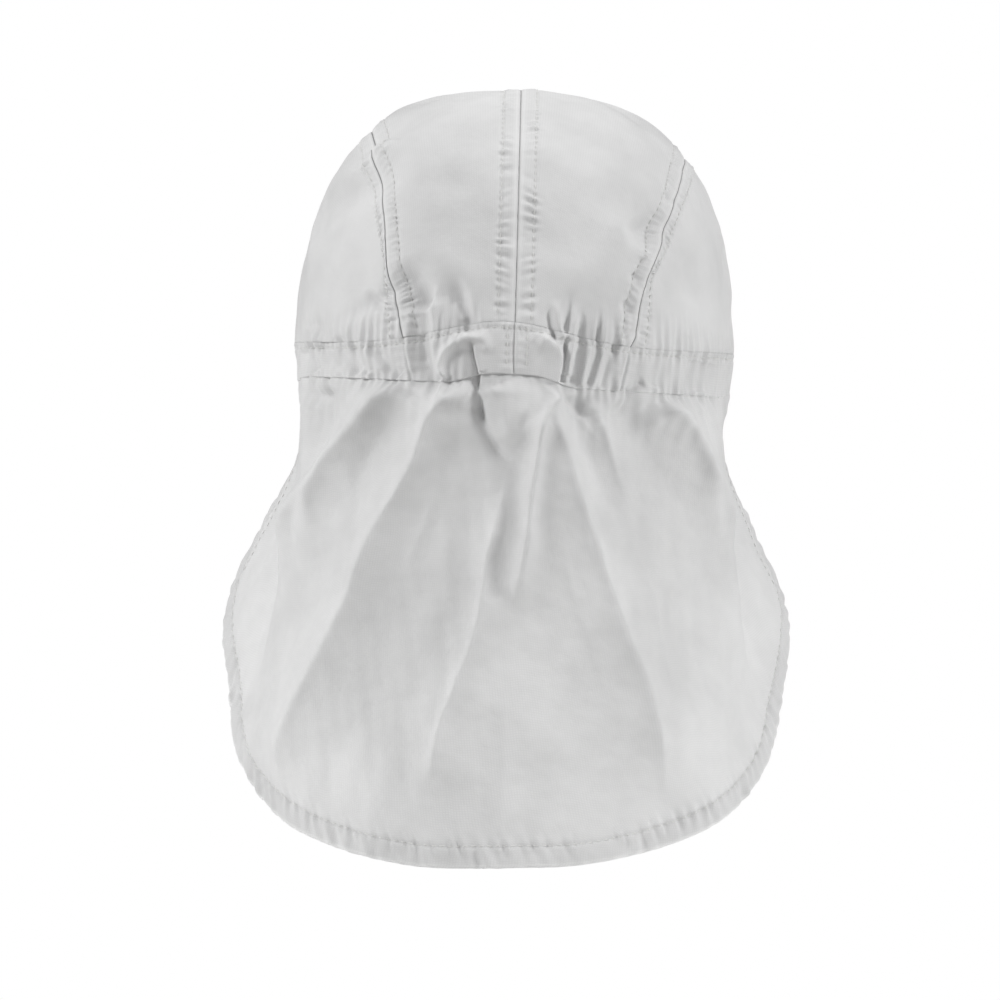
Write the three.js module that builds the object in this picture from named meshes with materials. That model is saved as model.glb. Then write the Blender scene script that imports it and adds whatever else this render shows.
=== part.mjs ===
import * as THREE from 'three';

const { degToRad, lerp, smoothstep } = THREE.MathUtils;

// Lengths are in millimetres. The origin is the middle of the rim's opening, +Z is up,
// the peak points to -Y, the flap hangs at the back, and +X is the wearer's left.

// Head opening and crown
const rimHalfWidth = 80.5;
const rimHalfDepth = 99;
const crownHeight = 111;
const crownSwell = 1.6;
const crownFullness = 2.7;
const dentDepth = 3;
const crownWall = 1.6;
const seamGap = 0.3;

// Gathered casing round the rim
const casingHeight = 14.6;
const casingLift = 8.8;
const casingWall = 2.4;
const casingDraw = 0.3;
const rimLift = 4.2;
const gatherSpacing = 11;
const gatherDepth = 1.1;
const gatherReach = 16;
const gatherFullTurn = degToRad(98);
const gatherEndTurn = degToRad(125);
const pinchDepth = 4.4;

// Neck flap
const flapLength = 177;
const flapHalfWidth = 106.5;
const flapTurn = degToRad(110);
const earHang = 0.22; // the share of its depth over which the flap hangs straight by the ears
const flapWall = 1.5;
const foldDepth = 9;
const hemWidth = 8;
const hemWall = 2.6;
const hemStep = 0.07;
const rimCrowding = 0.65;

// Peak
const peakReach = 62;
const peakEndReach = 9;
const peakClearance = 10;
const peakDroop = 14;
const peakArch = 15;
const peakEndRise = 0.5; // the shorter the peak is towards its ends, the less it drops
const peakWall = 3;

// The flap's upper edge and the peak's inner edge lie under the middle of the casing's wall, and
// the peak takes the stretch of rim that the flap leaves free.
const flapInset = casingDraw + (casingWall - flapWall) / 2;
const peakInset = casingDraw + casingWall / 2;
const peakTurn = Math.PI - flapTurn - (2 * peakClearance) / (rimHalfWidth + rimHalfDepth);

const crownHalfWidth = rimHalfWidth + crownSwell;
const crownHalfDepth = rimHalfDepth + crownSwell;

// The side seams: how far out they run, as shares of the crown's half width, as they rise.
const sideSeams = [
  { rise: 0, left: 0.46, right: 0.46 },
  { rise: 0.2, left: 0.5, right: 0.53 },
  { rise: 0.4, left: 0.55, right: 0.56 },
  { rise: 0.6, left: 0.56, right: 0.62 },
  { rise: 0.8, left: 0.58, right: 0.66 },
  { rise: 1, left: 0.62, right: 0.69 },
];

// Dents (below 0) and ridges (above 0) on the back of the crown. across and wide are shares of
// its half width, up and high are shares of its height, and tilt turns each one in degrees.
const crownDents = [
  { across: 0.67, up: 0.73, wide: 0.26, high: 0.05, tilt: -32, depth: 0.8 },
  { across: 0.72, up: 0.63, wide: 0.2, high: 0.07, tilt: -32, depth: -0.6 },
  { across: -0.6, up: 0.56, wide: 0.12, high: 0.07, tilt: 20, depth: -1 },
  { across: -0.47, up: 0.5, wide: 0.07, high: 0.1, tilt: -35, depth: 0.5 },
  { across: 0.63, up: 0.27, wide: 0.13, high: 0.035, tilt: -30, depth: -0.6 },
  { across: -0.8, up: 0.33, wide: 0.12, high: 0.09, tilt: 40, depth: -0.7 },
  { across: 0.28, up: 0.62, wide: 0.14, high: 0.2, tilt: 10, depth: -0.4 },
  { across: -0.25, up: 0.7, wide: 0.16, high: 0.12, tilt: -15, depth: 0.3 },
];

// Pinches in the casing at the back: across and wide are shares of the rim's half width.
const casingPinches = [
  { across: 0.175, wide: 0.032, depth: 1 },
  { across: 0.255, wide: 0.05, depth: -0.35 },
  { across: 0.36, wide: 0.035, depth: 0.35 },
  { across: -0.215, wide: 0.03, depth: 0.5 },
  { across: -0.27, wide: 0.03, depth: -0.25 },
  { across: -0.335, wide: 0.032, depth: 0.35 },
];

// The flap's shape from the back centre (turn 0) to its front edge (turn 1). out is a share of
// its half width, back of the rim's half depth, and drop of its length, all at the free edge.
// flare says how late the cloth spreads on its way down: 1 is evenly from the rim.
const flapRibs = [
  { turn: 0, out: 0, back: 1.03, drop: 1, flare: 1.5 },
  { turn: 0.15, out: 0.28, back: 0.99, drop: 0.995, flare: 1.5 },
  { turn: 0.3, out: 0.545, back: 0.87, drop: 0.962, flare: 1.5 },
  { turn: 0.45, out: 0.75, back: 0.68, drop: 0.91, flare: 1.6 },
  { turn: 0.6, out: 0.876, back: 0.44, drop: 0.835, flare: 2.0 },
  { turn: 0.72, out: 0.947, back: 0.22, drop: 0.745, flare: 2.6 },
  { turn: 0.84, out: 0.98, back: -0.02, drop: 0.61, flare: 3 },
  { turn: 0.93, out: 1, back: -0.22, drop: 0.5, flare: 3 },
  { turn: 1, out: 0.947, back: -0.38, drop: 0.38, flare: 3 },
];

// The flap's folds, each from the rim to the hem. rim and hem are shares of the flap's turn, above
// 0 on the left. bend below 1 swings a fold out early. start, end and fade are shares of the drop.
// right and left are its widths in turn to each side. height is a share of foldDepth, below 0 a valley.
const flapFolds = [
  { rim: 0.31, hem: 0.73, bend: 0.55, start: 0, end: 1.05, fade: 0.15,
    right: 0.09, left: 0.05, height: 0.75 },
  { rim: 0.2, hem: 0.62, bend: 0.6, start: 0.02, end: 1.2, fade: 0.2,
    right: 0.07, left: 0.07, height: -0.6 },
  { rim: 0.12, hem: 0.5, bend: 0.7, start: 0, end: 1.2, fade: 0.1,
    right: 0.06, left: 0.06, height: 0.75 },
  { rim: 0.07, hem: 0.3, bend: 0.9, start: 0, end: 1, fade: 0.05,
    right: 0.05, left: 0.06, height: -0.5 },
  { rim: 0.01, hem: 0.16, bend: 1, start: 0.14, end: 0.9, fade: 0.15,
    right: 0.04, left: 0.05, height: 0.4 },
  { rim: -0.09, hem: 0.02, bend: 0.7, start: 0.02, end: 0.6, fade: 0.12,
    right: 0.04, left: 0.04, height: 0.35 },
  { rim: -0.09, hem: -0.35, bend: 0.9, start: 0.03, end: 1.2, fade: 0.12,
    right: 0.05, left: 0.06, height: 0.7 },
  { rim: -0.14, hem: -0.52, bend: 0.8, start: 0.02, end: 1.1, fade: 0.14,
    right: 0.07, left: 0.05, height: -0.6 },
  { rim: -0.19, hem: -0.44, bend: 0.8, start: 0, end: 0.45, fade: 0.1,
    right: 0.05, left: 0.05, height: 0.35 },
  { rim: -0.4, hem: -0.68, bend: 0.45, start: 0, end: 1.05, fade: 0.12,
    right: 0.05, left: 0.1, height: 0.75 },
  { rim: 0.56, hem: 0.52, bend: 1, start: 0, end: 0.3, fade: 0.12,
    right: 0.05, left: 0.06, height: -0.35 },
  { rim: 0.8, hem: 0.82, bend: 1, start: 0.05, end: 0.75, fade: 0.3,
    right: 0.07, left: 0.08, height: -1.05 },
  { rim: -0.8, hem: -0.84, bend: 1, start: 0.05, end: 0.75, fade: 0.3,
    right: 0.07, left: 0.08, height: -0.9 },
];

const cottonColor = '#e4e4e3';
const bump = (distance) => Math.exp(-distance * distance);
const evenly = (count, from, to) => Array.from({ length: count + 1 }, (_, i) => lerp(from, to, i / count));

// Reads a column of a table at a place between its rows, on a smooth curve.
function readTable(table, key, column, at) {
  const last = table.length - 1;
  const next = table.findIndex((row, i) => i === last || (i > 0 && row[key] >= at));
  const slopeAt = (i) => {
    const before = table[Math.max(i - 1, 0)];
    const after = table[Math.min(i + 1, last)];
    return (after[column] - before[column]) / (after[key] - before[key]);
  };
  const from = table[next - 1];
  const to = table[next];
  const span = to[key] - from[key];
  const t = (at - from[key]) / span;
  const start = (1 + 2 * t) * (1 - t) ** 2 * from[column] + t * (1 - t) ** 2 * span * slopeAt(next - 1);
  return start + t * t * (3 - 2 * t) * to[column] + t * t * (t - 1) * span * slopeAt(next);
}

// A closed wall between an outer and an inner surface over one grid. Seen from outside, the
// columns run right to left where the rows run down. A ring joins its last column to its first.
function clothWall(columns, rows, outerAt, innerAt, ring = false) {
  const positions = [];
  for (const surface of [outerAt, innerAt]) {
    for (const u of columns) {
      for (const v of rows) {
        positions.push(...surface(u, v).toArray());
      }
    }
  }
  const depth = rows.length;
  const innerStart = columns.length * depth;
  const outer = (i, j) => (i % columns.length) * depth + j;
  const inner = (i, j) => innerStart + outer(i, j);
  const faces = [];
  const quad = (a, b, c, d) => faces.push(a, b, c, a, c, d);
  const columnSteps = ring ? columns.length : columns.length - 1;
  for (let i = 0; i < columnSteps; i += 1) {
    for (let j = 0; j < depth - 1; j += 1) {
      const near = [outer(i, j), outer(i + 1, j), outer(i + 1, j + 1), outer(i, j + 1)];
      const far = [inner(i, j), inner(i, j + 1), inner(i + 1, j + 1), inner(i + 1, j)];
      if (i * 2 >= columnSteps) {
        near.push(near.shift());
        far.push(far.shift());
      }
      quad(...near);
      quad(...far);
    }
    quad(outer(i + 1, 0), outer(i, 0), inner(i, 0), inner(i + 1, 0));
    quad(outer(i, depth - 1), outer(i + 1, depth - 1), inner(i + 1, depth - 1), inner(i, depth - 1));
  }
  if (!ring) {
    const end = columns.length - 1;
    for (let j = 0; j < depth - 1; j += 1) {
      quad(outer(0, j), outer(0, j + 1), inner(0, j + 1), inner(0, j));
      quad(outer(end, j + 1), outer(end, j), inner(end, j), inner(end, j + 1));
    }
  }
  const geometry = new THREE.BufferGeometry();
  geometry.setAttribute('position', new THREE.Float32BufferAttribute(positions, 3));
  geometry.setIndex(faces);
  geometry.computeVertexNormals();
  return geometry;
}

// A patch between four edges: start and end run down with v, top and bottom run across with u.
function patch(startAt, endAt, topAt, bottomAt) {
  return (u, v) => {
    const sides = startAt(v).lerp(endAt(v), u);
    const topShift = topAt(u).sub(topAt(0).lerp(topAt(1), u));
    const bottomShift = bottomAt(u).sub(bottomAt(0).lerp(bottomAt(1), u));
    return sides.addScaledVector(topShift, 1 - v).addScaledVector(bottomShift, v);
  };
}

// Turn is measured from the back centre towards the wearer's left, over an oval.
const turnOf = (point) => Math.atan2(point.x / crownHalfWidth, point.y / crownHalfDepth);
const atBack = (turn) => smoothstep(Math.cos(turn), 0, 0.3);

function casingTop(turn) {
  return casingHeight + casingLift * bump((Math.sin(turn) - 0.05) / 0.38) * atBack(turn);
}

// The smooth piece at the centre of the back, 1 on it and 0 away from it.
function centrePiece(turn) {
  return Math.exp(-(((Math.sin(turn) - 0.01) / 0.22) ** 4)) * atBack(turn);
}

// The waves of the gathered cloth, from -1 in a dip to 1 on a ridge.
function gathers(turn) {
  const count = Math.round((Math.PI * (rimHalfWidth + rimHalfDepth)) / gatherSpacing);
  const wave = Math.cos(count * turn + 0.8 * Math.sin(7 * turn)) * (0.75 + 0.25 * Math.sin(11 * turn));
  const spread = 1 - smoothstep(Math.abs(turn), gatherFullTurn, gatherEndTurn);
  return wave * spread * (1 - 0.85 * centrePiece(turn));
}

function pinches(turn) {
  const depths = casingPinches.map((row) => row.depth * bump((Math.sin(turn) - row.across) / row.wide));
  return depths.reduce((sum, depth) => sum + depth, 0) * atBack(turn);
}

// The point of the smooth crown in the direction of x, y, z from the middle of the rim.
function crownAt(x, y, z) {
  const level = Math.hypot(x / crownHalfWidth, y / crownHalfDepth);
  const reach = (level ** crownFullness + (z / crownHeight) ** crownFullness) ** (-1 / crownFullness);
  return new THREE.Vector3(x, y, z).multiplyScalar(reach);
}

function crownOutward(point) {
  const level = Math.hypot(point.x / crownHalfWidth, point.y / crownHalfDepth);
  const side = level ** (crownFullness - 2);
  const up = (point.z / crownHeight) ** (crownFullness - 1) / crownHeight;
  const out = new THREE.Vector3(point.x / crownHalfWidth ** 2, point.y / crownHalfDepth ** 2, 0);
  return out.multiplyScalar(side).setZ(up).normalize();
}

function crownRelief(point) {
  const turn = turnOf(point);
  const above = point.z - casingTop(turn);
  const nearCentre = 1 - smoothstep(Math.abs(turn), 0.5, 0.8);
  let relief = gatherDepth * gathers(turn) * nearCentre * bump(above / gatherReach);
  relief -= 0.5 * pinchDepth * pinches(turn) * nearCentre * bump(above / gatherReach);
  for (const dent of crownDents) {
    const tilt = degToRad(dent.tilt);
    const across = point.x / crownHalfWidth - dent.across;
    const up = (point.z / crownHeight - dent.up) * (crownHeight / crownHalfWidth);
    const along = (across * Math.cos(tilt) + up * Math.sin(tilt)) / dent.wide;
    const over = (up * Math.cos(tilt) - across * Math.sin(tilt)) / dent.high;
    relief += dentDepth * dent.depth * bump(along) * bump(over) * atBack(turn);
  }
  return relief;
}

// A point of the dome on a seam that lies a share of the half width out, round a roll from
// 0 at the back of the rim to half a turn at its front.
function domeAt(share, roll) {
  const rest = Math.sqrt(1 - share * share);
  const y = crownHalfDepth * rest * Math.cos(roll);
  return crownAt(crownHalfWidth * share, y, crownHeight * rest * Math.sin(roll));
}

// The roll at which a seam leaves the top of the casing.
function footRoll(shareAt, front) {
  let low = 0;
  let high = Math.PI / 4;
  for (let step = 0; step < 30; step += 1) {
    const middle = (low + high) / 2;
    const point = domeAt(shareAt(middle), front ? Math.PI - middle : middle);
    if (point.z < casingTop(turnOf(point)) + seamGap / 2) {
      low = middle;
    } else {
      high = middle;
    }
  }
  return high;
}

// A seam from the front of the casing (0) over the crown to the back of the casing (1).
function seamFrom(shareAt) {
  const frontRoll = Math.PI - footRoll(shareAt, true);
  const backRoll = footRoll(shareAt, false);
  return (along) => {
    const roll = lerp(frontRoll, backRoll, along);
    return domeAt(shareAt(roll), roll);
  };
}

const centreSeam = (shift) => seamFrom(() => shift / crownHalfWidth);
const sideSeam = (side, shift) => seamFrom((roll) => {
  const column = side > 0 ? 'left' : 'right';
  return side * readTable(sideSeams, 'rise', column, Math.sin(roll)) + shift / crownHalfWidth;
});

// The lower edge of a crown panel, just above the casing, between two of its corners.
function crownFoot(from, to) {
  return (u) => {
    const turn = lerp(turnOf(from), turnOf(to), u);
    const z = casingTop(turn) + seamGap / 2;
    const level = (1 - (z / crownHeight) ** crownFullness) ** (1 / crownFullness);
    const x = crownHalfWidth * level * Math.sin(turn);
    return new THREE.Vector3(x, crownHalfDepth * level * Math.cos(turn), z);
  };
}

// Stations along each seam, shared by the panels on both sides of it and closer at its feet.
const seamStations = evenly(30, 0, 1).map((place) => place - 0.1 * Math.sin(2 * Math.PI * place));
const shoulderStation = 6;

// levelRows are the rows that stand on the casing, where the cloth's thickness lies level.
function crownPanel(columns, rows, basePatch, levelRows) {
  const surface = (inward) => (u, v) => {
    const rough = basePatch(u, v);
    const point = crownAt(rough.x, rough.y, rough.z);
    const outward = crownOutward(point);
    if (levelRows.includes(v)) {
      outward.setZ(0).normalize();
    }
    return point.addScaledVector(outward, crownRelief(point) - inward);
  };
  return clothWall(columns, rows, surface(0), surface(crownWall));
}

function backPanel(side) {
  const halfGap = (side * seamGap) / 2;
  const edges = [centreSeam(halfGap), sideSeam(side, -halfGap)];
  const [start, end] = side > 0 ? edges : edges.reverse();
  const base = patch(start, end, crownFoot(start(0), end(0)), crownFoot(start(1), end(1)));
  return crownPanel(evenly(11, 0, 1), seamStations, base, [0, 1]);
}

// The round-topped side panel: its upper edge follows the seam from shoulder to shoulder.
function sidePanel(side) {
  const seam = sideSeam(side, (side * seamGap) / 2);
  const last = seamStations.length - 1;
  const topStations = seamStations.slice(shoulderStation, last - shoulderStation + 1);
  const frontStations = seamStations.slice(0, shoulderStation + 1).reverse();
  const backStations = seamStations.slice(last - shoulderStation);
  const between = (stations) => (share) => seam(stations[Math.round(share * (stations.length - 1))]);
  const ends = [between(backStations), between(frontStations)];
  if (side > 0) {
    topStations.reverse();
  } else {
    ends.reverse();
  }
  const base = patch(...ends, between(topStations), crownFoot(ends[0](1), ends[1](1)));
  return crownPanel(evenly(topStations.length - 1, 0, 1), evenly(shoulderStation, 0, 1), base, [1]);
}

const rimBottom = (turn) => rimLift * centrePiece(turn);

// A point at a turn round the rim, a distance outside it, at a height.
function rimAt(turn, outside, z) {
  const x = (rimHalfWidth + outside) * Math.sin(turn);
  const y = (rimHalfDepth + outside) * Math.cos(turn);
  return new THREE.Vector3(x, y, z);
}

function elasticCasing() {
  const surface = (inward) => (turn, v) => {
    const z = lerp(casingTop(turn) - seamGap / 2, rimBottom(turn), v);
    const waves = gatherDepth * gathers(turn) - pinchDepth * pinches(turn) * lerp(0.6, 1, v);
    const swell = crownSwell * Math.min(z / casingHeight, 1);
    return rimAt(turn, swell - casingDraw + waves - inward, z);
  };
  const turns = evenly(136, -gatherEndTurn, gatherEndTurn);
  const frontTurns = evenly(18, gatherEndTurn, 2 * Math.PI - gatherEndTurn).slice(1, -1);
  return clothWall([...turns, ...frontTurns], evenly(2, 0, 1), surface(0), surface(casingWall), true);
}

function flapFold(turnShare, v) {
  return flapFolds.reduce((sum, fold) => {
    const place = lerp(fold.rim, fold.hem, v ** fold.bend);
    const width = turnShare > place ? fold.left : fold.right;
    const rise = smoothstep(v, fold.start - 0.04, fold.start + fold.fade);
    const fall = 1 - smoothstep(v, fold.end - fold.fade - 0.1, fold.end);
    return sum + fold.height * bump((turnShare - place) / width) * rise * fall;
  }, 0);
}

function flapAt(turnShare, v) {
  const turn = turnShare * flapTurn;
  const read = (column) => readTable(flapRibs, 'turn', column, Math.abs(turnShare));
  const top = rimAt(turn, -flapInset, rimBottom(turn) - seamGap);
  const outward = new THREE.Vector3(Math.sin(turn) / rimHalfWidth, Math.cos(turn) / rimHalfDepth, 0);
  outward.normalize();
  const earSwing = Math.max((v - earHang) / (1 - earHang), 0) ** 1.15;
  const spread = lerp(v ** read('flare'), earSwing, smoothstep(Math.abs(turnShare), 0.76, 0.86));
  const x = lerp(top.x, Math.sign(turnShare) * read('out') * flapHalfWidth, spread);
  const y = lerp(top.y, read('back') * rimHalfDepth, spread);
  const z = lerp(top.z, -read('drop') * flapLength, v);
  const relief = foldDepth * flapFold(turnShare, v) - pinchDepth * pinches(turn) * bump(v / 0.08);
  return new THREE.Vector3(x, y, z).addScaledVector(outward, relief);
}

// The flap's direction outwards at a place, level along its upper edge.
function flapOutward(turnShare, v) {
  const reach = 0.004;
  const across = flapAt(Math.min(turnShare + reach, 1), v).sub(flapAt(Math.max(turnShare - reach, -1), v));
  const down = flapAt(turnShare, Math.min(v + reach, 1)).sub(flapAt(turnShare, Math.max(v - reach, 0)));
  const outward = across.cross(down);
  if (v === 0) {
    outward.setZ(0);
  }
  return outward.normalize();
}

// Grid places run from 0 to 1 over the plain cloth and from 1 to 2 over the hem. Near the rim the
// columns crowd to the centre of the back, and from there they fan out as the folds do.
const overHem = (place, hemShare) =>
  Math.min(place, 1) * (1 - hemShare) + Math.max(place - 1, 0) * hemShare;

function neckFlap() {
  const sideHem = hemWidth / (flapTurn * 0.5 * (rimHalfWidth + rimHalfDepth));
  const surface = (facing) => (column, row) => {
    const hemShare = Math.sign(column) * overHem(Math.abs(column), sideHem);
    const drop = flapLength * readTable(flapRibs, 'turn', 'drop', Math.abs(hemShare));
    const v = overHem(row, hemWidth / drop);
    const turnShare = hemShare * (1 - rimCrowding * (1 - Math.abs(hemShare)) * (1 - v) ** 2);
    const onHem = Math.abs(column) > 1 || row > 1;
    const half = (onHem ? hemWall : flapWall) / 2;
    const offset = facing * (v === 0 ? flapWall / 2 : half);
    return flapAt(turnShare, v).addScaledVector(flapOutward(turnShare, v), offset - flapWall / 2);
  };
  const columns = [-2, -1 - hemStep, ...evenly(66, -1, 1), 1 + hemStep, 2];
  const rows = [...evenly(15, 0, 1), 1 + hemStep, 2];
  return clothWall(columns, rows, surface(1), surface(-1));
}

function peak() {
  const surface = (below) => (u, w) => {
    const turn = Math.PI + u * peakTurn;
    const inner = rimAt(turn, -peakInset, -seamGap);
    const reach = lerp(peakEndReach, peakReach, Math.cos((u * Math.PI) / 2) ** 0.75);
    const forward = new THREE.Vector3(0.3 * Math.sin(turn), -1, 0).normalize();
    const fullDrop = peakDroop * w ** 1.6 + peakArch * w * u * u;
    const drop = fullDrop * (reach / peakReach) ** peakEndRise;
    return inner.addScaledVector(forward, w * reach).add(new THREE.Vector3(0, 0, -drop - below));
  };
  return clothWall(evenly(24, -1, 1), evenly(5, 0, 1), surface(0), surface(peakWall));
}

function piece(name, geometry) {
  const material = new THREE.MeshStandardMaterial({ color: cottonColor, roughness: 0.95, metalness: 0 });
  const mesh = new THREE.Mesh(geometry, material);
  mesh.name = name;
  return mesh;
}

const cap = new THREE.Group();
cap.name = 'legionnaire_cap';
cap.add(
  piece('back_panel_left', backPanel(1)),
  piece('back_panel_right', backPanel(-1)),
  piece('side_panel_left', sidePanel(1)),
  piece('side_panel_right', sidePanel(-1)),
  piece('elastic_casing', elasticCasing()),
  piece('neck_flap', neckFlap()),
  piece('peak', peak()),
);

export default cap;
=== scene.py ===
import math
import bpy
import numpy as np
from mathutils import Matrix


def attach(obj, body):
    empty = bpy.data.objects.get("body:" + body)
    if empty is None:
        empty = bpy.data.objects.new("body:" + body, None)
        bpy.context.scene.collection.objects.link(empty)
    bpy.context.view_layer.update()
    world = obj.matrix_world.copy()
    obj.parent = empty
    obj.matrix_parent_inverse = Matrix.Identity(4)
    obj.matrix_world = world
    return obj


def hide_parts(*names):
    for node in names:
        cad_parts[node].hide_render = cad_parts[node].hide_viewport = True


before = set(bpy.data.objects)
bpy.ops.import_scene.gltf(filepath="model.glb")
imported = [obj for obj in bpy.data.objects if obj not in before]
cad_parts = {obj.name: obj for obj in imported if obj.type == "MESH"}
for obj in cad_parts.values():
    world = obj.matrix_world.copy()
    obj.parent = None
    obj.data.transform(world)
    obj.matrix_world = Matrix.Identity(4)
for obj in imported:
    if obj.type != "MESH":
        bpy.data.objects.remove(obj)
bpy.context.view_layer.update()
mm = 0.001

# camera
view = {
    "pixelSize": 0.374 * mm,        # one pixel of the picture at the cap's middle
    "pictureWidth": 1000,
    "capMiddle": (513, 388),        # pixel where the middle of the rim's opening lies
    "lean": math.radians(1.5),      # the cap leans to the picture's right
    "distance": 5.0,                # a long lens, so that near and far cloth keep one scale
}


def placeCamera():
    half = view["pictureWidth"] / 2
    across = (half - view["capMiddle"][0]) * view["pixelSize"]
    up = (view["capMiddle"][1] - half) * view["pixelSize"]
    cosLean, sinLean = math.cos(view["lean"]), math.sin(view["lean"])
    aimX = -(across * cosLean - up * sinLean)
    aimZ = across * sinLean + up * cosLean
    data = bpy.data.cameras.new("camera")
    data.sensor_width = 36
    data.lens = 36 * view["distance"] / (view["pictureWidth"] * view["pixelSize"])
    data.clip_end = 100
    camera = bpy.data.objects.new("camera", data)
    bpy.context.scene.collection.objects.link(camera)
    camera.matrix_world = Matrix((
        (-cosLean, sinLean, 0, aimX),
        (0, 0, 1, view["distance"]),
        (sinLean, cosLean, 0, aimZ),
        (0, 0, 0, 1),
    ))
    bpy.context.scene.camera = camera


placeCamera()
print("camera placed")


# curves, tables and soft random waves
def bump(distance):
    return np.exp(-distance * distance)


def ease(value, low, high):
    t = np.clip((value - low) / (high - low), 0, 1)
    return t * t * (3 - 2 * t)


def mix(a, b, t):
    return a + (b - a) * t


def roundedEdge(fromEdge, radius):      # how far a rounded edge draws in, at a distance from it
    t = np.clip(1 - fromEdge / radius, 0, 1)
    return radius * (1 - np.sqrt(1 - t * t))


def readTable(keys, values, at):        # a smooth curve through the table's rows
    keys, values = np.asarray(keys, float), np.asarray(values, float)
    last = len(keys) - 1
    before = np.maximum(np.arange(last + 1) - 1, 0)
    after = np.minimum(np.arange(last + 1) + 1, last)
    slopes = (values[after] - values[before]) / (keys[after] - keys[before])
    following = np.clip(np.searchsorted(keys, at), 1, last)
    start = following - 1
    span = keys[following] - keys[start]
    t = (at - keys[start]) / span
    low = (1 + 2 * t) * (1 - t) ** 2 * values[start] + t * (1 - t) ** 2 * span * slopes[start]
    return low + t * t * (3 - 2 * t) * values[following] + t * t * (t - 1) * span * slopes[following]


def rippleLine(along, length, seed):    # uneven waves along a line, about -1 to 1
    dice = np.random.default_rng(seed)
    total = 0
    for _ in range(6):
        turns = 2 * math.pi / (length * dice.uniform(0.65, 1.7))
        total = total + np.cos(turns * along + dice.uniform(0, 2 * math.pi))
    return total / 2.6


def rippleField(points, length, seed, stretch=(1, 1, 1)):   # uneven waves through space, about -1 to 1
    dice = np.random.default_rng(seed)
    total = 0
    for _ in range(14):
        heading = dice.normal(size=3)
        heading = heading / np.linalg.norm(heading) / np.asarray(stretch)
        turns = 2 * math.pi / (length * dice.uniform(0.6, 1.6))
        total = total + np.cos(points @ heading * turns + dice.uniform(0, 2 * math.pi))
    return total / 4


# lines read off the picture
def fromPicture(pixels, depth=0.09):    # pixels of the picture to metres across and up, on the cap's back
    pixels = np.asarray(pixels, float)
    scale = view["pixelSize"] * (view["distance"] - depth) / view["distance"]
    half = view["pictureWidth"] / 2
    across, up = (pixels[:, 0] - half) * scale, (half - pixels[:, 1]) * scale
    cosLean, sinLean = math.cos(view["lean"]), math.sin(view["lean"])
    aimX, aimZ = bpy.context.scene.camera.location[0], bpy.context.scene.camera.location[2]
    return np.stack([aimX - across * cosLean + up * sinLean, aimZ + across * sinLean + up * cosLean], -1)


def smoothLine(points, steps=6):
    run = np.concatenate([[0], np.cumsum(np.linalg.norm(np.diff(points, axis=0), axis=1))])
    at = np.linspace(0, run[-1], steps * (len(points) - 1) + 1)
    return np.stack([readTable(run, points[:, 0], at), readTable(run, points[:, 1], at)], -1)


def lineRelief(grid, lines):            # ridges and creases along picture lines, on the cap's back
    relief = np.zeros(grid.shape[:-1])      # a row: pixels, height, widths to its left and right (mm), fades
    for pixels, height, left, right, fadeIn, fadeOut in lines:
        line = smoothLine(fromPicture(pixels))
        reach = 3 * max(left, right) * mm
        near = ((grid[..., 0] > line[:, 0].min() - reach) & (grid[..., 0] < line[:, 0].max() + reach)
                & (grid[..., 2] > line[:, 1].min() - reach) & (grid[..., 2] < line[:, 1].max() + reach)
                & (grid[..., 1] > 0))
        spots = grid[near][:, (0, 2)]
        if len(spots) == 0:
            continue
        step = np.diff(line, axis=0)
        length = np.linalg.norm(step, axis=1)
        run = np.concatenate([[0], np.cumsum(length)])
        offset = spots[:, None] - line[None, :-1]
        t = np.clip((offset * step).sum(-1) / length ** 2, 0, 1)
        away = np.linalg.norm(offset - t[..., None] * step, axis=-1)
        best = away.argmin(axis=1)
        pick = np.arange(len(spots))
        distance = away[pick, best]
        along = (run[best] + t[pick, best] * length[best]) / run[-1]
        turned = step[best, 0] * offset[pick, best, 1] - step[best, 1] * offset[pick, best, 0]
        width = np.where(turned > 0, left, right) * mm
        crest = np.minimum(0.25 * width, 0.9 * mm)
        shape = np.exp(-((np.hypot(distance, crest) - crest) / width) ** 1.35)
        fade = ease(along, -0.001, fadeIn + 0.001) * (1 - ease(along, 1 - fadeOut - 0.001, 1.001))
        fade = fade * ease(grid[near][:, 1], 0, 10 * mm)    # the front half has none
        relief[near] += height * mm * shape * fade
    return relief


# grids of cloth
def gridNormals(grid, ring=False):
    if ring:
        padded = np.concatenate([grid[-1:], grid, grid[:1]])
        across = np.gradient(padded, axis=0)[1:-1]
    else:
        across = np.gradient(grid, axis=0)
    normal = np.cross(across, np.gradient(grid, axis=1))
    return normal / np.maximum(np.linalg.norm(normal, axis=2, keepdims=True), 1e-12)


def lengthsAcross(grid):                # distance from the first column, along each row of points
    steps = np.linalg.norm(np.diff(grid, axis=0), axis=2)
    return np.concatenate([np.zeros((1, grid.shape[1])), np.cumsum(steps, axis=0)])


def lengthsDown(grid):
    return lengthsAcross(grid.swapaxes(0, 1)).swapaxes(0, 1)


def atDistance(grid, lengths, distance):  # the line at a distance from the first column
    return np.array([
        [np.interp(distance, lengths[:, j], grid[:, j, axis]) for axis in range(3)]
        for j in range(grid.shape[1])
    ])


def newPiece(name, points, faces):
    mesh = bpy.data.meshes.new(name)
    mesh.from_pydata(points.reshape(-1, 3).tolist(), [], faces)
    mesh.shade_smooth()
    piece = bpy.data.objects.new(name, mesh)
    bpy.context.scene.collection.objects.link(piece)
    return piece


def rowAt(grid, normals, lengths, distance):      # that line's points and normals
    return [atDistance(part, lengths, distance) for part in (grid, normals)]


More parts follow.
